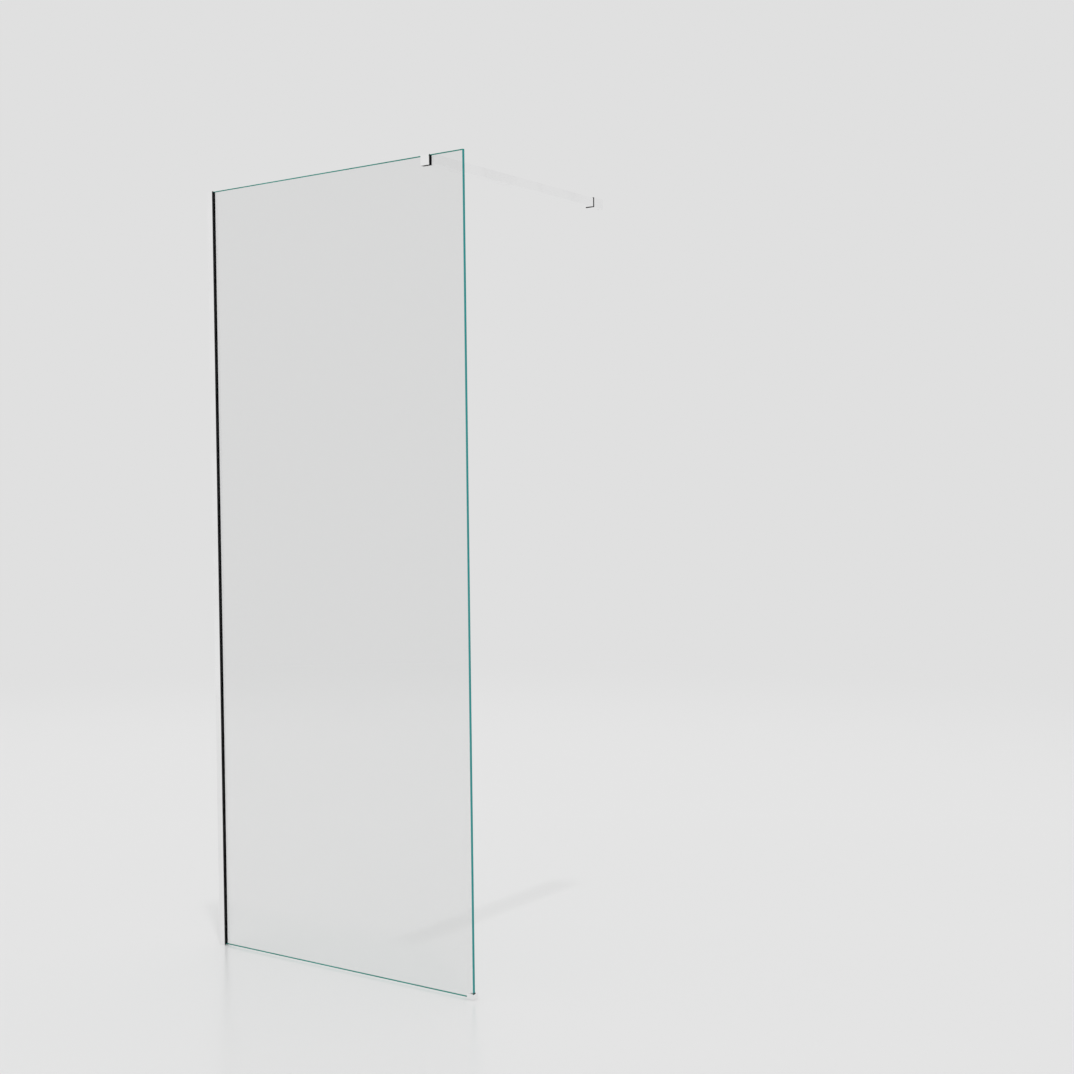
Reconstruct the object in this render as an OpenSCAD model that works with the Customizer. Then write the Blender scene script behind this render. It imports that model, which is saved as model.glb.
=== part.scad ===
// Walk-in shower screen: one fixed glass panel in a wall profile, steadied by a square bar to the back wall.
// X runs from the side wall along the glass, Y from the glass to the back wall and Z up from the floor.
// The origin is on the side wall, at the floor, in the middle of the glass thickness.

/* [Glass] */
// Height of the top of the glass and of the wall profile above the floor
screen_h = 2000; // [1700:10:2200]
// Width of the glass as cut
glass_w = 840; // [600:10:1400]
// Thickness of the glass
glass_t = 8; // [6:1:10]
// Gap between the glass and the floor
glass_lift = 3; // [2.5:0.5:6]
// Width of the polished arris on the glass edges
glass_arris = 1.2; // [0.4:0.1:1.5]

/* [Wall profile] */
// Width of the wall profile, across the glass
profile_w = 19; // [18:1:32]
// Depth of the wall profile, from the wall to the end of its rear leg
profile_d = 20.5; // [20:0.5:36]
// Thickness of the legs of the wall profile
leg_t = 1.5; // [1.3:0.1:2.2]
// Thickness of the web that lies on the wall
web_t = 2.2; // [1.8:0.1:3]
// Diameter of the holes for the wall screws
wall_hole_d = 5; // [4:0.5:6]
// Distance of the first and the last wall screw from the ends of the profile
wall_hole_margin = 100; // [60:10:160]
// Height of the heads of the wall screws, kept free behind the glass
screw_head_h = 3; // [2:0.5:3.5]
// How far the seals reach into the profile
seal_depth = 7; // [6:0.5:9]
// Thickness of the returned end of the rear leg, and of the front seal's lip over the front leg
seal_lip = 1.2; // [0.8:0.1:2]
// Gap between the glass and the returned end of the rear leg
return_gap = 0.5; // [0.3:0.1:1]
// Depth of the groove that holds the rib of the front seal
groove_d = 0.6; // [0.4:0.1:0.8]
// Height of each guide that centres the glass in the profile
guide_h = 40; // [20:5:80]
// Thickness of the plate of the top cap
cap_t = 2; // [1.5:0.5:4]
// Length of the prongs of the top cap
cap_prong = 12; // [6:1:25]

/* [Bar] */
// Side of the square bar
bar_w = 24; // [23:1:30]
// Wall thickness of the bar
bar_wall = 1.5; // [1.2:0.1:2]
// Radius of the long edges of the bar and of the wall socket
bar_round = 1; // [0.5:0.1:1.2]
// Distance from the back of the glass to the back wall
bar_reach = 750; // [300:10:1200]
// Distance from the free edge of the glass to the middle of the bar
bar_inset = 109; // [60:1:300]
// Drop from the top of the glass to the middle of the bar
bar_drop = 8; // [7:0.5:11]

/* [Glass clamp] */
// How far the clamp plates stand out past each side of the bar
clamp_margin = 0.5; // [0.5:0.5:5]
// Height of the front plate of the clamp
clamp_h = 25; // [24:1:40]
// Thickness of the face of the front plate
front_plate_t = 2.5; // [2:0.5:5]
// Thickness of the black pad between the front plate and the glass
front_pad_t = 4; // [3:0.5:10]
// Thickness of the black pad behind the glass
rear_pad_t = 1; // [1:0.5:4]
// Thickness of the rear plate of the clamp
rear_plate_t = 5; // [4.5:0.5:8]
// Length of the spigot that enters the bar
spigot_len = 16; // [12:1:30]
// Diameter of the clamp bolt
bolt_d = 6; // [5:0.5:6]
// Drop from the middle of the bar to the clamp bolt
bolt_offset = 4; // [0:0.5:4]
// Diameter of the small grub screws
grub_d = 4; // [3:0.5:5]

/* [Wall socket] */
// Length of the metal sleeve of the wall socket
socket_len = 44; // [36:1:70]
// Wall thickness of the metal sleeve
socket_wall = 0.8; // [0.7:0.1:2]
// Length of the black lip at the mouth of the socket
socket_lip = 0.8; // [0.5:0.1:4]
// Length of the liner inside the sleeve
liner_len = 20; // [10:1:24]
// Thickness of the liner between the bar and the sleeve
liner_wall = 0.5; // [0.4:0.1:2]
// Thickness of the base plate inside the socket
base_t = 8; // [6:0.5:12]
// Gap between the end of the bar and the base plate
socket_gap = 10; // [4:1:12]
// Diameter of the hole for the wall screw
base_hole_d = 5.5; // [4.5:0.5:6.5]
// Diameter of the recess for the head of the wall screw
base_recess_d = 11; // [8:0.5:13]

/* [Foot] */
// Length of the foot along the glass
foot_len = 20; // [16:1:50]
// Width of the foot, across the glass
foot_w = 20; // [19:1:40]
// Height of the foot
foot_h = 13.5; // [10:0.5:30]
// Thickness of the foot past the free edge of the glass
foot_end = 5; // [3:0.5:10]
// Thickness of the floor of the foot, under its liner
foot_floor_t = 1.8; // [1.2:0.1:2]
// Thickness of the liner between the foot and the faces of the glass
foot_liner_t = 0.5; // [0.5:0.5:2.5]
// Thickness of the liner between the foot and the free edge of the glass
foot_liner_end = 1; // [0.5:0.5:1.5]
// How far the liner stands above the foot at the free edge of the glass
foot_liner_rise = 1.5; // [0:0.5:3]
// How far the liner stays below the top of the foot along the faces of the glass
foot_liner_drop = 3.5; // [0.5:0.5:4]

/* [Fit] */
// How far the glass can be pushed towards the wall while it is set
slide_in = 1.5; // [0:0.5:1.5]
// Gap between each seal and the glass
seal_gap = 0.2; // [0.1:0.05:0.4]
// Sliding clearance on each side of a fitted piece
slide_gap = 0.3; // [0.2:0.05:0.4]
// Clearance on each side of a close fit
close_gap = 0.15; // [0.1:0.05:0.2]
// Chamfer on the edges of the metal fittings
edge_c = 0.5; // [0.3:0.1:0.8]

/* [Hidden] */
$fn = 48;
eps = 0.1;
wall_hole_count = 4;

// Glass and wall profile
half_t = glass_t / 2;
inner_y = profile_w / 2 - leg_t;
leg_x = profile_d - seal_lip;
seal_x = leg_x - seal_depth;
wall_hole_pitch = (screen_h - 2 * wall_hole_margin) / (wall_hole_count - 1);
slot_x = web_t + screw_head_h;
glass_inset = slot_x + slide_gap + slide_in;
glass_x = glass_inset + glass_w;
groove_w = 1.5;
groove_x = leg_x - 3 * groove_w;
seal_y = half_t + seal_gap;
leg_c = 0.5;

// Bar and clamp
bar_x = glass_x - bar_inset;
bar_z = screen_h - bar_drop;
bolt_z = bar_z - bolt_offset;
bolt_head_r = bolt_d * 0.8;
bolt_seat_t = 3;
bolt_bite = 1.2;
boss_r = bolt_d;
clamp_w = bar_w + 2 * clamp_margin;
clamp_z = screen_h - clamp_h;
front_pad_y = -half_t - front_pad_t;
front_plate_y = front_pad_y - front_plate_t;
rear_plate_y = half_t + rear_pad_t;
bar_y = rear_plate_y + rear_plate_t;
bolt_seat_y = rear_plate_y + bolt_seat_t;
spigot_w = bar_w - 2 * bar_wall - 2 * close_gap;
notch_r = bolt_d;
bar_screw_y = bar_y + spigot_len / 2;

// Wall socket
wall_y = half_t + bar_reach;
bar_end_y = wall_y - base_t - socket_gap;
sleeve_y = wall_y - socket_len;
liner_inner = bar_w + 2 * close_gap;
sleeve_inner = liner_inner + 2 * liner_wall;
socket_w = sleeve_inner + 2 * socket_wall;
base_w = sleeve_inner - 2 * close_gap;
base_recess_h = base_t / 2 + 0.5;

// Foot
foot_x = glass_x + foot_end - foot_len;
foot_slot_w = glass_t + 2 * foot_liner_t;
foot_slot_x = glass_x + foot_liner_end;
foot_screw_z = (foot_h + glass_lift) / 2;

// A rectangle with its corners cut off
module cut_rect(w, h, c) {
    polygon([[c, 0], [w - c, 0], [w, c], [w, h - c], [w - c, h], [c, h], [0, h - c], [0, c]]);
}

// A block with all its edges cut off
module cut_block(w, d, h, c) {
    intersection() {
        linear_extrude(h) cut_rect(w, d, c);
        rotate([90, 0, 90]) linear_extrude(w) cut_rect(d, h, c);
        translate([0, d, 0]) rotate([90, 0, 0]) linear_extrude(d) cut_rect(w, h, c);
    }
}

// A round bar along Y, from its start at y = 0
module rod_y(r, l) {
    rotate([-90, 0, 0]) cylinder(r = r, h = l);
}

// A square bar along Y with sharp edges, centred on the bar's axis
module square_y(w, y, l) {
    translate([bar_x - w / 2, y, bar_z - w / 2]) cube([w, l, w]);
}

// A square bar along Y with rounded edges, centred on the bar's axis
module round_square_y(w, y, l) {
    corner = w / 2 - bar_round;
    translate([bar_x, y, bar_z]) rotate([-90, 0, 0]) linear_extrude(l) union() {
        square([w, 2 * corner], center = true);
        square([2 * corner, w], center = true);
        for (side = [-1, 1], end = [-1, 1])
            translate([side * corner, end * corner]) circle(bar_round);
    }
}

// A headless screw that stands on its tip at the origin, with a hex socket in its other end
module grub_screw(l) {
    difference() {
        union() {
            cylinder(r1 = grub_d / 2 - 0.6, r2 = grub_d / 2, h = 0.6);
            translate([0, 0, 0.6]) cylinder(r = grub_d / 2, h = l - 0.6);
        }
        translate([0, 0, l / 2]) cylinder(d = grub_d / 2, h = l, $fn = 6);
    }
}

// Outline of the wall profile, seen from above, with the end of its rear leg turned in towards the glass
module profile_outline() {
    w = profile_w / 2;
    difference() {
        polygon([
            [0, -w + leg_c], [leg_c, -w], [leg_x, -w], [leg_x, 0], [profile_d, 0],
            [profile_d, w - leg_c], [profile_d - leg_c, w], [leg_c, w], [0, w - leg_c],
        ]);
        translate([web_t, -inner_y]) square([leg_x - web_t, 2 * inner_y]);
        translate([web_t, -inner_y]) square([profile_d, inner_y + half_t + return_gap]);
        translate([groove_x, -inner_y - groove_d]) square([groove_w, groove_d + eps]);
    }
}

module wall_profile() {
    color("gainsboro") difference() {
        linear_extrude(screen_h) profile_outline();
        for (i = [0 : wall_hole_count - 1])
            translate([-eps, 0, wall_hole_margin + i * wall_hole_pitch])
                rotate([0, 90, 0]) cylinder(d = wall_hole_d, h = web_t + 2 * eps);
    }
}

// Outline of the rear seal: a wedge with two legs between the glass and the rear leg of the profile
module rear_seal_outline() {
    mid_y = (seal_y + inner_y) / 2;
    polygon([
        [leg_x, seal_y], [leg_x, inner_y], [seal_x + 1, inner_y], [seal_x, inner_y - 1],
        [seal_x + seal_depth / 3, mid_y], [seal_x, seal_y + 1], [seal_x + 1, seal_y],
    ]);
}

// Outline of the front seal: the same wedge with a rib in the groove and a lip over the end of the front leg
module front_seal_outline() {
    mirror([0, 1, 0]) union() {
        rear_seal_outline();
        translate([groove_x + eps, inner_y - eps]) square([groove_w - 2 * eps, groove_d]);
        polygon([
            [leg_x, seal_y], [profile_d - 0.4, seal_y], [profile_d, seal_y + 0.4],
            [profile_d, profile_w / 2 - 0.4], [profile_d - 0.4, profile_w / 2], [leg_x, profile_w / 2],
        ]);
    }
}

module rear_seal() {
    color("black") translate([0, 0, glass_lift]) linear_extrude(screen_h - glass_lift) rear_seal_outline();
}

module front_seal() {
    color("black") translate([0, 0, glass_lift]) linear_extrude(screen_h - glass_lift) front_seal_outline();
}

// Outline of a piece that fills the profile behind the seals, open where the glass slides
module guide_outline() {
    difference() {
        translate([web_t, -inner_y]) square([seal_x - slide_gap - web_t, 2 * inner_y]);
        translate([slot_x, -half_t - slide_gap]) square([seal_x, glass_t + 2 * slide_gap]);
    }
}

module glass_guides() {
    color("dimgray") for (i = [0 : wall_hole_count - 2])
        translate([0, 0, wall_hole_margin + (i + 0.5) * wall_hole_pitch - guide_h / 2])
            linear_extrude(guide_h) guide_outline();
}

module glass_support_block() {
    color("dimgray") translate([web_t, -inner_y, 0])
        cube([seal_x - slide_gap - web_t, 2 * inner_y, glass_lift]);
}

module profile_top_cap() {
    prong_t = (inner_y - half_t - slide_gap) / 3;
    color("gainsboro") {
        translate([0, 0, screen_h - cap_t]) linear_extrude(cap_t) guide_outline();
        for (side = [0, 1])
            mirror([0, side, 0])
                translate([web_t + 1, inner_y - prong_t, screen_h - cap_t - cap_prong])
                    cube([seal_x - slide_gap - web_t - 2, prong_t, cap_prong + eps]);
    }
}

// The opening in the top edge of the glass that the clamp bolt passes through
module glass_notch(r, y, l) {
    translate([bar_x, y, bolt_z]) rod_y(r, l);
    translate([bar_x - r, y, bolt_z]) cube([2 * r, l, screen_h - bolt_z + eps]);
}

module glass_panel() {
    h = screen_h - glass_lift;
    color([0.75, 0.88, 0.86, 0.4]) difference() {
        translate([glass_inset, -half_t, glass_lift]) intersection() {
            linear_extrude(h) cut_rect(glass_w, glass_t, glass_arris);
            rotate([90, 0, 90]) linear_extrude(glass_w) cut_rect(glass_t, h, glass_arris);
        }
        glass_notch(notch_r + close_gap, -glass_t, 2 * glass_t);
    }
}

module clamp_bush() {
    color("white") difference() {
        intersection() {
            glass_notch(notch_r, -half_t, glass_t);
            translate([bar_x - boss_r, -half_t, bolt_z - boss_r])
                cube([2 * boss_r, glass_t, screen_h - bolt_z + boss_r]);
        }
        translate([bar_x, -glass_t, bolt_z]) rod_y(bolt_d / 2 + close_gap, 2 * glass_t);
    }
}

module clamp_front_plate() {
    color("silver") difference() {
        union() {
            translate([bar_x - clamp_w / 2, front_plate_y, clamp_z])
                cut_block(clamp_w, front_plate_t, clamp_h, edge_c);
            translate([bar_x, front_pad_y - eps, bolt_z]) rod_y(boss_r, front_pad_t - close_gap + eps);
        }
        translate([bar_x, front_plate_y + bolt_bite, bolt_z]) rod_y(bolt_d / 2, front_pad_t + front_plate_t);
    }
}

module clamp_front_pad() {
    color("black") difference() {
        translate([bar_x - clamp_w / 2, front_pad_y, clamp_z]) cube([clamp_w, front_pad_t, clamp_h]);
        translate([bar_x, front_pad_y - eps, bolt_z]) rod_y(boss_r + close_gap, front_pad_t + 2 * eps);
    }
}

module clamp_rear_pad() {
    color("black") difference() {
        translate([bar_x - clamp_w / 2, half_t, clamp_z]) cube([clamp_w, rear_pad_t, clamp_h]);
        translate([bar_x, half_t - eps, bolt_z]) rod_y(bolt_d / 2 + slide_gap, rear_pad_t + 2 * eps);
    }
}

module clamp_rear_plate() {
    top_z = bar_z + bar_w / 2 + clamp_margin;
    color("silver") difference() {
        union() {
            translate([bar_x - clamp_w / 2, rear_plate_y, clamp_z])
                cut_block(clamp_w, rear_plate_t, top_z - clamp_z, edge_c);
            square_y(spigot_w, bar_y - eps, spigot_len + eps);
        }
        translate([bar_x, rear_plate_y - eps, bolt_z]) rod_y(bolt_d / 2 + slide_gap, bolt_seat_t + 2 * eps);
        translate([bar_x, bolt_seat_y, bolt_z]) rod_y(bolt_head_r + close_gap, rear_plate_t + spigot_len);
        translate([bar_x, bar_screw_y, bar_z - bar_w / 2]) cylinder(d = grub_d, h = bar_w / 4);
    }
}

module clamp_bolt() {
    tip_y = front_plate_y + bolt_bite + slide_gap;
    color("gray") difference() {
        union() {
            translate([bar_x, tip_y, bolt_z]) rod_y(bolt_d / 2, bolt_seat_y - tip_y + eps);
            translate([bar_x, bolt_seat_y, bolt_z]) rod_y(bolt_head_r, bolt_d);
        }
        translate([bar_x, bolt_seat_y + bolt_d / 2, bolt_z])
            rotate([-90, 0, 0]) cylinder(d = bolt_d * 0.9, h = bolt_d, $fn = 6);
    }
}

module bar_lock_screw() {
    screw_l = grub_d + 1;
    color("gray") translate([bar_x, bar_screw_y, bar_z - bar_w / 2 + slide_gap + screw_l])
        rotate([180, 0, 0]) grub_screw(screw_l);
}

module support_bar() {
    hollow = bar_w - 2 * bar_wall;
    color("silver") difference() {
        round_square_y(bar_w, bar_y, bar_end_y - bar_y);
        square_y(hollow, bar_y - eps, bar_end_y - bar_y + 2 * eps);
        translate([bar_x, bar_screw_y, bar_z - bar_w / 2 - eps])
            cylinder(d = grub_d + 2 * close_gap, h = bar_wall + 2 * eps);
    }
}

module wall_socket() {
    color("silver") difference() {
        round_square_y(socket_w, sleeve_y, socket_len);
        square_y(sleeve_inner, sleeve_y - eps, socket_len + 2 * eps);
        translate([bar_x, wall_y - base_t / 2, bar_z - socket_w / 2 - eps])
            cylinder(d = grub_d, h = socket_wall + 2 * eps);
    }
}

module socket_liner() {
    color("black") difference() {
        union() {
            round_square_y(socket_w, sleeve_y - socket_lip, socket_lip);
            square_y(sleeve_inner, sleeve_y - eps, liner_len + eps);
        }
        square_y(liner_inner, sleeve_y - socket_lip - eps, liner_len + socket_lip + 2 * eps);
    }
}

module socket_base() {
    base_y = wall_y - base_t;
    color("dimgray") difference() {
        square_y(base_w, base_y, base_t);
        translate([bar_x, base_y - eps, bar_z]) rod_y(base_hole_d / 2, base_t + 2 * eps);
        translate([bar_x, base_y - eps, bar_z]) rod_y(base_recess_d / 2, base_recess_h + eps);
        translate([bar_x, wall_y - base_t / 2, bar_z - base_w / 2 - eps])
            cylinder(d = grub_d, h = grub_d + eps);
    }
}

module socket_lock_screw() {
    screw_l = socket_wall + grub_d / 2;
    color("gray") translate([bar_x, wall_y - base_t / 2, bar_z - socket_w / 2 + close_gap + screw_l])
        rotate([180, 0, 0]) grub_screw(screw_l);
}

module foot_block() {
    color("silver") difference() {
        translate([foot_x, -foot_w / 2, 0]) cut_block(foot_len, foot_w, foot_h, edge_c);
        translate([foot_x - eps, -foot_slot_w / 2, foot_floor_t])
            cube([foot_slot_x - foot_x + eps, foot_slot_w, foot_h]);
        translate([foot_x + foot_len / 2, 0, foot_screw_z]) rod_y(grub_d / 2, foot_w);
    }
}

module foot_liner() {
    color("black") difference() {
        union() {
            translate([foot_x + edge_c, -foot_slot_w / 2, foot_floor_t])
                cube([foot_slot_x - foot_x - edge_c, foot_slot_w, foot_h - foot_floor_t - foot_liner_drop]);
            translate([glass_x, -half_t, foot_floor_t])
                cube([foot_liner_end, glass_t, foot_h - foot_floor_t + foot_liner_rise]);
        }
        translate([foot_x - eps, -half_t, glass_lift])
            cube([glass_x - foot_x + eps, glass_t, foot_h]);
    }
}

module foot_lock_screw() {
    screw_l = foot_w / 2 - foot_slot_w / 2 - edge_c;
    color("gray") translate([foot_x + foot_len / 2, foot_slot_w / 2, foot_screw_z])
        rotate([-90, 0, 0]) grub_screw(screw_l);
}

wall_profile();
front_seal();
rear_seal();
glass_guides();
glass_support_block();
profile_top_cap();
glass_panel();
clamp_front_plate();
clamp_front_pad();
clamp_bush();
clamp_rear_pad();
clamp_rear_plate();
clamp_bolt();
bar_lock_screw();
support_bar();
wall_socket();
socket_liner();
socket_base();
socket_lock_screw();
foot_block();
foot_liner();
foot_lock_screw();
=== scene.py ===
import math

import bpy
from mathutils import Matrix

bl_info = {
    "name": "Walk-in Shower Screen",
    "version": (1, 0, 0),
    "blender": (4, 5, 0),
    "location": "3D View > Sidebar > Shower Screen",
    "description": "Finishes the glass, the wall profile, the support bar and the foot of a shower screen",
    "category": "Object",
}

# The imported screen, and its box before anything is added
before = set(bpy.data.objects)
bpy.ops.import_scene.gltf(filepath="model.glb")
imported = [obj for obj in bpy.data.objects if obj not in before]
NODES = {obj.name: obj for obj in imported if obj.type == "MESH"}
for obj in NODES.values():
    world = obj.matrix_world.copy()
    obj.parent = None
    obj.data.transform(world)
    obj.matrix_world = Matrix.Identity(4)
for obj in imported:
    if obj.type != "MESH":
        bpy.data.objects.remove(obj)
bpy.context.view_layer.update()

# Directions of a drawn or rolled piece, along which its fine lines run
ALONG_X = (1.0, 0.0, 0.0)
ALONG_Y = (0.0, 1.0, 0.0)
ALONG_Z = (0.0, 0.0, 1.0)


# Shader sums

# Colour sockets of the Mix node, whose names are not unique
MIX_SHARE = 0
MIX_FIRST = 6
MIX_SECOND = 7
MIX_RESULT = 2


class Value:
    """A socket that can stand in a Python sum. Each operator adds one Math node."""

    def __init__(self, graph, socket):
        self.graph = graph
        self.socket = socket

    def __add__(self, other):
        return self.graph.math("ADD", self, other)

    def __mul__(self, other):
        return self.graph.math("MULTIPLY", self, other)

    def __sub__(self, other):
        return self.graph.math("SUBTRACT", self, other)

    def __rsub__(self, other):
        return self.graph.math("SUBTRACT", other, self)

    def __abs__(self):
        return self.graph.math("ABSOLUTE", self)

    __radd__ = __add__
    __rmul__ = __mul__

    def larger(self, other):
        """The larger of the two values."""
        return self.graph.math("MAXIMUM", self, other)

    def step(self, start, end):
        """0 below start, 1 above end, and smooth between them."""
        sockets = {"Value": self, "From Min": start, "From Max": end}
        return self.graph.add("ShaderNodeMapRange", sockets, interpolation_type="SMOOTHSTEP")


class Graph:
    """The nodes of one material or of the world."""

    def __init__(self, tree):
        self.tree = tree
        tree.nodes.clear()

    def add(self, kind, sockets=None, out=0, **settings):
        """Adds a node, sets it, feeds its sockets with values or links, and gives one of its outputs."""
        node = self.tree.nodes.new(kind)
        for name, value in settings.items():
            setattr(node, name, value)
        for name, value in (sockets or {}).items():
            self.feed(node.inputs[name], value)
        return Value(self, node.outputs[out]) if node.outputs else None

    def feed(self, socket, value):
        if isinstance(value, Value):
            self.tree.links.new(value.socket, socket)
        else:
            socket.default_value = value

    def math(self, operation, *numbers):
        return self.add("ShaderNodeMath", dict(enumerate(numbers)), operation=operation)

    def mixed_colour(self, share, first, second):
        sockets = {MIX_SHARE: share, MIX_FIRST: first, MIX_SECOND: second}
        return self.add("ShaderNodeMix", sockets, out=MIX_RESULT, data_type="RGBA")

    def mixed_shader(self, share, first, second):
        return self.add("ShaderNodeMixShader", {0: share, 1: first, 2: second})

    def coordinate(self, kind):
        """Object is the place on a piece, Normal where it faces, Generated the direction in the world."""
        return self.add("ShaderNodeTexCoord", out=kind)

    def part(self, vector, axis):
        """One of the three numbers of a vector."""
        return self.add("ShaderNodeSeparateXYZ", {"Vector": vector}, out=axis)

    def ray(self, kind):
        """1 for the rays of this kind, 0 for others."""
        return self.add("ShaderNodeLightPath", out=f"Is {kind} Ray")

    def noise(self, scale, detail=2.0, roughness=0.5):
        """Noise with its own scale per metre along each axis."""
        spot = {0: self.coordinate("Object"), 1: scale}
        place = self.add("ShaderNodeVectorMath", spot, operation="MULTIPLY")
        sockets = {"Vector": place, "Scale": 1.0, "Detail": detail, "Roughness": roughness}
        return self.add("ShaderNodeTexNoise", sockets)

    def bump(self, height, depth, strength):
        return self.add("ShaderNodeBump", {"Height": height, "Distance": depth, "Strength": strength})

    def surface(self, sockets):
        return self.add("ShaderNodeBsdfPrincipled", sockets)

    def end(self, shader):
        self.add("ShaderNodeOutputMaterial", {"Surface": shader})


def opaque(colour):
    return (*colour[:3], 1.0)


def grey(tone):
    return (tone, tone, tone, 1.0)


def new_material(name):
    material = bpy.data.materials.new(name)
    material.use_nodes = True
    return material, Graph(material.node_tree)


def even(scale):
    """The same noise scale along all axes."""
    return (scale, scale, scale)


def stretched(across, along, direction):
    """Noise scale per metre: across the lines of a drawn piece, and along them."""
    return tuple(along if axis else across for axis in direction)


def dress(material, *names):
    """Gives the named solids this material in all their slots."""
    for name in names:
        if name not in NODES:
            raise RuntimeError(f"the model has no piece named {name}")
        slots = NODES[name].data.materials
        slots.clear()
        slots.append(material)


# Materials

def polished_metal(name, metal, direction):
    """Bright plated metal with the faint lines of drawing or polishing, and a thin haze."""
    line_stretch = 60
    line_roughness = 0.02
    line_relief = 0.35
    haze_scale = 9.0
    haze_range = (0.42, 0.72)
    material, graph = new_material(name)
    scale = stretched(metal.line_density, metal.line_density / line_stretch, direction)
    lines = graph.noise(scale, detail=3.0)
    haze = graph.noise(even(haze_scale), detail=5.0, roughness=0.6).step(*haze_range)
    graph.end(graph.surface({
        "Base Color": graph.mixed_colour(haze, opaque(metal.colour), opaque(metal.haze_colour)),
        "Metallic": 1.0,
        "Roughness": metal.roughness + haze * metal.haze_roughness + lines * line_roughness,
        "Normal": graph.bump(lines, metal.line_depth, line_relief),
    }))
    return material


def black_rubber(name, trim, direction):
    """Extruded black rubber: matt, with fine lines along it and a little dust."""
    line_scale = 2600.0
    line_scale_along = 8.0
    line_depth = 0.00004
    line_relief = 0.5
    dust_scale = 35.0
    dust_range = (0.5, 0.8)
    dust_cover = 0.3
    dust_roughness = 0.15
    gloss = 0.15
    material, graph = new_material(name)
    lines = graph.noise(stretched(line_scale, line_scale_along, direction))
    dust = graph.noise(even(dust_scale), detail=6.0, roughness=0.65).step(*dust_range)
    cover = dust * dust_cover
    graph.end(graph.surface({
        "Base Color": graph.mixed_colour(cover, opaque(trim.rubber_colour), opaque(trim.dust_colour)),
        "Roughness": trim.rubber_roughness + dust * dust_roughness,
        "Specular IOR Level": gloss,
        "Normal": graph.bump(lines, line_depth, line_relief),
    }))
    return material


def moulded_plastic(name, colour, roughness):
    """Moulded plastic with the fine grain that the mould leaves."""
    grain_scale = 1400.0
    grain_depth = 0.00005
    grain_relief = 0.5
    grain_roughness = 0.12
    cloud_scale = 60.0
    cloud_range = (0.3, 0.7)
    cloud_shade = 0.8
    gloss = 0.4
    material, graph = new_material(name)
    grain = graph.noise(even(grain_scale))
    cloud = graph.noise(even(cloud_scale), detail=3.0).step(*cloud_range)
    darker = tuple(part * cloud_shade for part in colour[:3])
    graph.end(graph.surface({
        "Base Color": graph.mixed_colour(cloud, opaque(darker), opaque(colour)),
        "Roughness": roughness + grain * grain_roughness,
        "Specular IOR Level": gloss,
        "Normal": graph.bump(grain, grain_depth, grain_relief),
    }))
    return material


def turned_steel(name, screws):
    """Plain steel of small screws, with fine turning marks."""
    mark_scale = 1800.0
    mark_range = (0.35, 0.75)
    mark_depth = 0.00003
    mark_relief = 0.4
    mark_roughness = 0.12
    material, graph = new_material(name)
    marks = graph.noise(even(mark_scale))
    share = marks.step(*mark_range)
    graph.end(graph.surface({
        "Base Color": graph.mixed_colour(share, opaque(screws.colour), opaque(screws.dark_colour)),
        "Metallic": 1.0,
        "Roughness": screws.roughness + marks * mark_roughness,
        "Normal": graph.bump(marks, mark_depth, mark_relief),
    }))
    return material


def painted_glow_strips(graph, node, reach):
    """1 on the strips of a panel's faces beside its top and bottom edges, and 0 between them. The edges'
    teal is painted there as glow and shade that widens their lines.
    """
    # Share of the reach that is fully coloured, before the strip fades out
    full_share = 0.7
    heights = [corner[2] for corner in NODES[node].bound_box]
    middle = (max(heights) + min(heights)) / 2
    half = (max(heights) - min(heights)) / 2
    height = graph.part(graph.coordinate("Object"), "Z")
    return abs(height - middle).step(half - reach, half - reach * full_share)


def teal_edge(graph, glass, ground, level):
    """Colour of the glass's edges: teal, paler on the ground arrises, and on the level edges a darker,
    deeper teal that is painted shade.
    """
    streak_scale = (6.0, 180.0, 6.0)
    streak_range = (0.3, 0.7)
    streak = graph.noise(streak_scale, detail=4.0, roughness=0.6).step(*streak_range)
    polished = graph.mixed_colour(streak, opaque(glass.edge_colour), opaque(glass.edge_light))
    upright = graph.mixed_colour(ground, polished, opaque(glass.arris_colour))
    # Painted shade: the top and bottom edges take their own darker teal with darker streaks, in place of
    # the upright edge's teal
    painted_shade_teal = graph.mixed_colour(streak, opaque(glass.level_edge_shade), opaque(glass.level_edge_deep_shade))
    return graph.mixed_colour(level, upright, painted_shade_teal)


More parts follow.
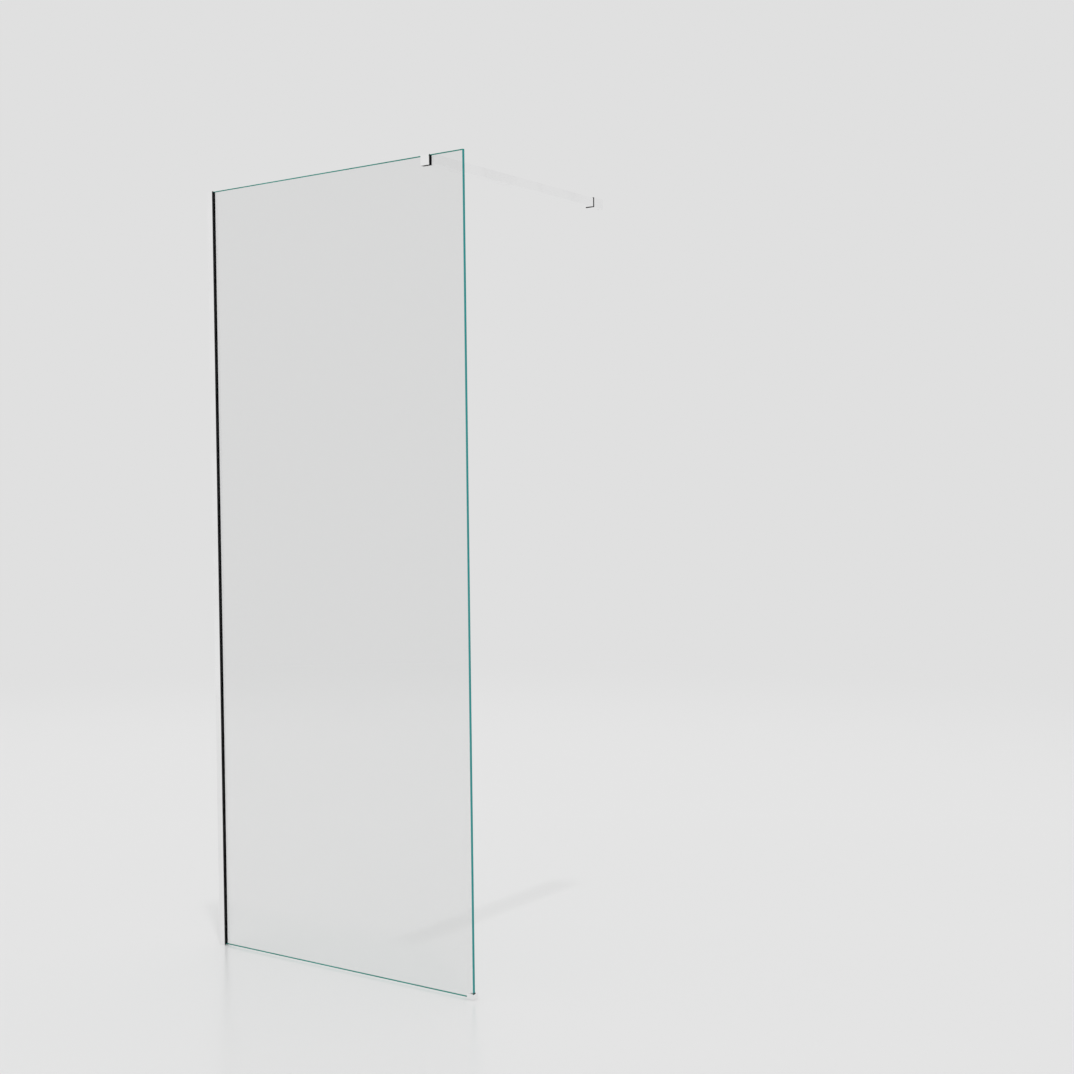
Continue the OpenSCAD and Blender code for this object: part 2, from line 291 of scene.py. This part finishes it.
def clear_glass(name, glass):
    """Clear float glass whose polished edges look teal, with a paler ground arris along them."""
    # How far the direction of a surface points across the pane, on its arrises and on its faces
    arris_range = (0.3, 0.5)
    face_range = (0.85, 0.95)
    # How far it points up or down on the level edges
    level_range = (0.3, 0.6)
    ripple_scale = (3.0, 3.0, 1.2)
    ripple_relief = 0.2
    material, graph = new_material(name)
    facing = graph.coordinate("Normal")
    across = abs(graph.part(facing, "Y"))
    # Painted glow and shade: the faces beside the top and bottom edges take those edges' teal, opaque
    strips = painted_glow_strips(graph, "glass_panel", glass.glow_reach)
    edge = strips.larger(1.0 - across.step(*face_range))
    ground = edge * across.step(*arris_range)
    # Painted shade: the level edges and the strips beside them get the darker teal
    level = strips.larger(abs(graph.part(facing, "Z")).step(*level_range))
    ripple = graph.noise(ripple_scale, detail=1.0)
    body = graph.surface({
        "Base Color": opaque(glass.tint),
        "Roughness": glass.roughness,
        "IOR": glass.ior,
        "Transmission Weight": 1.0,
        "Normal": graph.bump(ripple, glass.ripple, ripple_relief),
    })
    end_face = graph.surface({
        "Base Color": teal_edge(graph, glass, ground, level),
        "Roughness": glass.edge_roughness + ground * glass.arris_roughness,
        "IOR": glass.ior,
        "Specular IOR Level": 0.0,
        "Coat Weight": glass.edge_gloss - level * glass.edge_gloss,
    })
    pane = graph.mixed_shader(edge * glass.edge_cover, body, end_face)
    shade = graph.add("ShaderNodeBsdfTransparent", {"Color": opaque(glass.shade)})
    graph.end(graph.mixed_shader(graph.ray("Shadow").larger(graph.ray("Diffuse")), pane, shade))
    return material


# Settings

def colour(name, description, default):
    return bpy.props.FloatVectorProperty(
        name=name, description=description, default=default, subtype="COLOR", size=3, min=0.0, max=1.0,
    )


def number(name, description, default, **more):
    return bpy.props.FloatProperty(name=name, description=description, default=default, **more)


def share(name, description, default, high=1.0):
    return number(name, description, default, subtype="FACTOR", min=0.0, max=high)


def length(name, description, default):
    return number(name, description, default, unit="LENGTH")


def angle(name, description, degrees):
    return number(name, description, math.radians(degrees), unit="ROTATION")


class ScreenGlass(bpy.types.PropertyGroup):
    tint: colour("Tint", "Colour of the clear glass, seen through both faces", (0.912, 0.915, 0.914))
    edge_colour: colour("Edge", "Deep teal of the polished edges", (0.025, 0.29, 0.285))
    edge_light: colour("Edge light", "Lighter teal of the polished edges", (0.035, 0.34, 0.33))
    # Painted shade: a darker, deeper teal for the top and bottom edges and the strips beside them
    level_edge_shade: colour("Level edge", "Teal of the top and bottom edges", (0.003, 0.31, 0.25))
    level_edge_deep_shade: colour("Level edge streaks", "Darker streaks along those edges", (0.001, 0.22, 0.165))
    # Painted glow and shade: how far the level edges' teal reaches onto the faces
    glow_reach: length("Edge reach", "Height of the strip that those edges colour on the faces", 0.0021)
    edge_gloss: share("Edge gloss", "Gloss of the upright edge", 0.3)
    edge_cover: share("Edge cover", "How far the teal of the edges hides what is behind", 1.0)
    edge_roughness: share("Edge roughness", "Roughness of the polished edges", 0.12)
    arris_colour: colour("Arris", "Pale ground line along each edge", (0.08, 0.37, 0.36))
    arris_roughness: share("Arris roughness", "How much rougher the ground line is", 0.35)
    shade: colour("Shade", "Light that the panel lets through to the floor", (0.95, 0.965, 0.962))
    roughness: share("Roughness", "Roughness of the faces", 0.0)
    ior: number("IOR", "Bending of light in the glass", 1.5, min=1.3, max=1.7)
    ripple: length("Ripple", "Height of the faint waves of float glass", 0.00002)


class ScreenMetal(bpy.types.PropertyGroup):
    colour: colour("Colour", "Colour of the bright metal", (0.935, 0.935, 0.937))
    haze_colour: colour("Haze", "Colour where water has dried on it", (0.895, 0.895, 0.897))
    roughness: share("Roughness", "Roughness of the clean metal", 0.07)
    haze_roughness: share("Haze roughness", "How much rougher the hazy places are", 0.08)
    line_density: number("Line density", "Polishing lines per metre", 1800.0, min=100.0, max=5000.0)
    line_depth: length("Line depth", "Depth of the polishing lines", 0.00001)


class ScreenTrim(bpy.types.PropertyGroup):
    rubber_colour: colour("Rubber", "Colour of the seals and pads", (0.008, 0.008, 0.009))
    dust_colour: colour("Dust", "Colour of the dust on them", (0.03, 0.03, 0.031))
    rubber_roughness: share("Rubber roughness", "Roughness of the seals and pads", 0.5)
    liner_colour: colour("Liners", "Colour of the socket's and the foot's liner", (0.010, 0.010, 0.011))
    liner_roughness: share("Liner roughness", "Roughness of the liners", 0.35)
    plastic_colour: colour("Plastic", "Colour of the hidden plastic pieces", (0.42, 0.42, 0.42))
    plastic_roughness: share("Plastic roughness", "Roughness of the plastic pieces", 0.4)


class ScreenScrews(bpy.types.PropertyGroup):
    colour: colour("Colour", "Colour of the steel", (0.62, 0.62, 0.61))
    dark_colour: colour("Marks", "Colour of the turning marks", (0.42, 0.42, 0.42))
    roughness: share("Roughness", "Roughness of the steel", 0.25)


class ScreenStage(bpy.types.PropertyGroup):
    backdrop: colour("Backdrop", "Colour behind the screen", (0.745, 0.745, 0.745))
    floor_colour: colour("Floor", "Colour of the floor", (0.85, 0.85, 0.85))
    floor_roughness: share("Floor roughness", "Roughness of the floor", 0.22)
    floor_gloss: share("Floor gloss", "Strength of what the floor mirrors", 0.3)
    floor_radius: length("Floor radius", "Radius of the floor", 40.0)
    fade_start: length("Fade start", "Distance at which the floor starts to turn into the backdrop", 3.0)
    fade_end: length("Fade end", "Distance at which the floor is all backdrop", 7.0)
    sky: share("Sky", "Strength of the even light from all sides", 0.72, high=3.0)
    front_sheen: share("Front sheen", "Tone that metal mirrors from the front", 0.82, high=2.0)
    back_sheen: share("Back sheen", "Tone that metal mirrors from the back", 0.78, high=2.0)
    lamp: number("Lamp", "Strength of the soft lamp", 0.62, min=0.0)
    lamp_lean_x: number("Lamp lean X", "Sideways run of the light for each metre down", -0.166)
    lamp_lean_y: number("Lamp lean Y", "Run of the light towards the back for each metre down", 0.145)
    lamp_width: angle("Lamp width", "Angle that the lamp fills, which softens shadows", 3.0)
    camera_place: bpy.props.FloatVectorProperty(
        name="Camera place", description="Where the camera stands", default=(3.0683, -2.9003, 1.1910),
        subtype="TRANSLATION", unit="LENGTH", size=3,
    )
    camera_heading: angle("Heading", "Turn of the camera from the back wall towards the side wall", 34.925)
    camera_pitch: angle("Pitch", "Tilt of the camera below the horizon", 1.542)
    camera_roll: angle("Roll", "Roll of the camera, clockwise", 0.658)
    camera_lens: number("Lens", "Focal length", 52.130, min=10.0, unit="CAMERA")


SETTINGS = {
    "screen_glass": ScreenGlass,
    "screen_metal": ScreenMetal,
    "screen_trim": ScreenTrim,
    "screen_screws": ScreenScrews,
    "screen_stage": ScreenStage,
}


# Stage

def mirrored_tone(graph, stage, back):
    """What bright metal mirrors of the studio, lighter in front of the screen than behind it."""
    return graph.mixed_colour(back, grey(stage.front_sheen), grey(stage.back_sheen))


def backdrop_world(stage):
    """An even pale light, a plain backdrop, and the tones that bright metal mirrors."""
    blend_reach = 0.8
    world = bpy.data.worlds.new("pale_studio")
    world.use_nodes = True
    graph = Graph(world.node_tree)
    back = graph.part(graph.coordinate("Generated"), "Y").step(-blend_reach, blend_reach)
    tone = graph.mixed_colour(graph.ray("Glossy"), grey(stage.sky), mirrored_tone(graph, stage, back))
    seen = graph.ray("Camera").larger(graph.ray("Transmission"))
    tone = graph.mixed_colour(seen, tone, opaque(stage.backdrop))
    light = graph.add("ShaderNodeBackground", {"Color": tone, "Strength": 1.0})
    graph.add("ShaderNodeOutputWorld", {"Surface": light})
    bpy.context.scene.world = world


def floor_material(stage):
    """A pale, slightly glossy floor that turns into the backdrop far from the screen."""
    material, graph = new_material("pale_floor")
    spot = graph.coordinate("Object")
    distance = graph.add("ShaderNodeVectorMath", {0: spot}, out="Value", operation="LENGTH")
    far = distance.step(stage.fade_start, stage.fade_end)
    near = graph.surface({
        "Base Color": opaque(stage.floor_colour),
        "Roughness": stage.floor_roughness,
        "Specular IOR Level": stage.floor_gloss,
    })
    back = graph.part(spot, "Y").step(-stage.fade_start, stage.fade_start)
    mirrored = graph.ray("Glossy") * (1.0 - graph.ray("Transmission"))
    tone = graph.mixed_colour(mirrored, opaque(stage.backdrop), mirrored_tone(graph, stage, back))
    glow = graph.add("ShaderNodeEmission", {"Color": tone, "Strength": 1.0})
    graph.end(graph.mixed_shader(far, near, glow))
    return material


def lay_floor(stage):
    corners = 96
    radius = stage.floor_radius
    turns = [2 * math.pi * i / corners for i in range(corners)]
    ring = [(radius * math.cos(turn), radius * math.sin(turn), 0.0) for turn in turns]
    mesh = bpy.data.meshes.new("floor")
    mesh.from_pydata(ring, [], [tuple(range(corners))])
    mesh.materials.append(floor_material(stage))
    floor = bpy.data.objects.new("floor", mesh)
    bpy.context.scene.collection.objects.link(floor)


def hang_lamp(stage):
    """One soft lamp high above, a little in front and to the open side."""
    data = bpy.data.lights.new("soft_lamp", "SUN")
    data.energy = stage.lamp
    data.angle = stage.lamp_width
    lamp = bpy.data.objects.new("soft_lamp", data)
    lamp.rotation_euler = (math.atan(stage.lamp_lean_y), -math.atan(stage.lamp_lean_x), 0.0)
    bpy.context.scene.collection.objects.link(lamp)


def place_camera(stage):
    sensor_width_mm = 36.0
    farthest = 200.0
    data = bpy.data.cameras.new("camera")
    data.lens = stage.camera_lens
    data.sensor_width = sensor_width_mm
    data.clip_end = farthest
    data.dof.use_dof = False
    camera = bpy.data.objects.new("camera", data)
    tilt = math.pi / 2 - stage.camera_pitch
    turn = Matrix.Rotation(stage.camera_heading, 4, "Z") @ Matrix.Rotation(tilt, 4, "X")
    turn = turn @ Matrix.Rotation(-stage.camera_roll, 4, "Z")
    camera.matrix_world = Matrix.Translation(stage.camera_place) @ turn
    bpy.context.scene.collection.objects.link(camera)
    bpy.context.scene.camera = camera


# Operators

class SCREEN_OT_stage(bpy.types.Operator):
    """Lay the floor, set the backdrop, the light and the camera"""
    bl_idname = "screen.stage"
    bl_label = "Stage"

    def execute(self, context):
        stage = context.scene.screen_stage
        backdrop_world(stage)
        lay_floor(stage)
        hang_lamp(stage)
        place_camera(stage)
        context.scene.view_settings.view_transform = "Standard"
        return {"FINISHED"}


class SCREEN_OT_profile(bpy.types.Operator):
    """Finish the wall profile and its top cap in bright drawn metal"""
    bl_idname = "screen.profile"
    bl_label = "Wall profile"

    def execute(self, context):
        metal = context.scene.screen_metal
        dress(polished_metal("bright_profile", metal, ALONG_Z), "wall_profile")
        dress(polished_metal("bright_cap", metal, ALONG_Y), "profile_top_cap")
        return {"FINISHED"}


class SCREEN_OT_seals(bpy.types.Operator):
    """Finish the black seals in front of the glass and behind it"""
    bl_idname = "screen.seals"
    bl_label = "Seals"

    def execute(self, context):
        dress(black_rubber("black_seal", context.scene.screen_trim, ALONG_Z), "front_seal", "rear_seal")
        return {"FINISHED"}


class SCREEN_OT_glass(bpy.types.Operator):
    """Finish the glass panel, clear with teal edges"""
    bl_idname = "screen.glass"
    bl_label = "Glass panel"

    def execute(self, context):
        dress(clear_glass("clear_glass", context.scene.screen_glass), "glass_panel")
        return {"FINISHED"}


class SCREEN_OT_clamp(bpy.types.Operator):
    """Finish the plates and pads that hold the bar to the glass"""
    bl_idname = "screen.clamp"
    bl_label = "Glass clamp"

    def execute(self, context):
        plates = polished_metal("bright_clamp", context.scene.screen_metal, ALONG_Z)
        dress(plates, "clamp_front_plate", "clamp_rear_plate")
        pads = black_rubber("black_pad", context.scene.screen_trim, ALONG_X)
        dress(pads, "clamp_front_pad", "clamp_rear_pad")
        return {"FINISHED"}


class SCREEN_OT_bar(bpy.types.Operator):
    """Finish the square support bar"""
    bl_idname = "screen.bar"
    bl_label = "Support bar"

    def execute(self, context):
        dress(polished_metal("bright_bar", context.scene.screen_metal, ALONG_Y), "support_bar")
        return {"FINISHED"}


class SCREEN_OT_socket(bpy.types.Operator):
    """Finish the wall socket and the black liner at its mouth"""
    bl_idname = "screen.socket"
    bl_label = "Wall socket"

    def execute(self, context):
        trim = context.scene.screen_trim
        dress(polished_metal("bright_socket", context.scene.screen_metal, ALONG_Y), "wall_socket")
        liner = moulded_plastic("black_socket_liner", trim.liner_colour, trim.liner_roughness)
        dress(liner, "socket_liner")
        return {"FINISHED"}


class SCREEN_OT_foot(bpy.types.Operator):
    """Finish the foot under the free corner, and its liner"""
    bl_idname = "screen.foot"
    bl_label = "Foot"

    def execute(self, context):
        trim = context.scene.screen_trim
        dress(polished_metal("bright_foot", context.scene.screen_metal, ALONG_X), "foot_block")
        liner = moulded_plastic("black_foot_liner", trim.liner_colour, trim.liner_roughness)
        dress(liner, "foot_liner")
        return {"FINISHED"}


class SCREEN_OT_inner_plastic(bpy.types.Operator):
    """Finish the hidden plastic pieces: guides, support block, bush and socket base"""
    bl_idname = "screen.inner_plastic"
    bl_label = "Inner plastic"

    def execute(self, context):
        trim = context.scene.screen_trim
        plastic = moulded_plastic("grey_plastic", trim.plastic_colour, trim.plastic_roughness)
        dress(plastic, "glass_guides", "glass_support_block", "clamp_bush", "socket_base")
        return {"FINISHED"}


class SCREEN_OT_screws(bpy.types.Operator):
    """Finish the clamp bolt and the small lock screws"""
    bl_idname = "screen.screws"
    bl_label = "Screws"

    def execute(self, context):
        steel = turned_steel("turned_steel", context.scene.screen_screws)
        dress(steel, "clamp_bolt", "bar_lock_screw", "socket_lock_screw", "foot_lock_screw")
        return {"FINISHED"}


OPERATORS = (
    SCREEN_OT_stage,
    SCREEN_OT_profile,
    SCREEN_OT_seals,
    SCREEN_OT_glass,
    SCREEN_OT_clamp,
    SCREEN_OT_bar,
    SCREEN_OT_socket,
    SCREEN_OT_foot,
    SCREEN_OT_inner_plastic,
    SCREEN_OT_screws,
)


class SCREEN_PT_pieces(bpy.types.Panel):
    """The screen's settings and its pieces"""
    bl_idname = "SCREEN_PT_pieces"
    bl_label = "Shower Screen"
    bl_space_type = "VIEW_3D"
    bl_region_type = "UI"
    bl_category = "Shower Screen"

    def draw(self, context):
        for operator in OPERATORS:
            self.layout.operator(operator.bl_idname)
        for name, group in SETTINGS.items():
            box = self.layout.box()
            for setting in group.__annotations__:
                box.prop(getattr(context.scene, name), setting)


def register():
    for name, group in SETTINGS.items():
        bpy.utils.register_class(group)
        setattr(bpy.types.Scene, name, bpy.props.PointerProperty(type=group))
    for operator in OPERATORS:
        bpy.utils.register_class(operator)
    bpy.utils.register_class(SCREEN_PT_pieces)


def unregister():
    bpy.utils.unregister_class(SCREEN_PT_pieces)
    for operator in reversed(OPERATORS):
        bpy.utils.unregister_class(operator)
    for name, group in SETTINGS.items():
        delattr(bpy.types.Scene, name)
        bpy.utils.unregister_class(group)


def main():
    register()
    for operator in OPERATORS:
        section, action = operator.bl_idname.split(".")
        getattr(getattr(bpy.ops, section), action)()


if __name__ == "__main__":
    main()
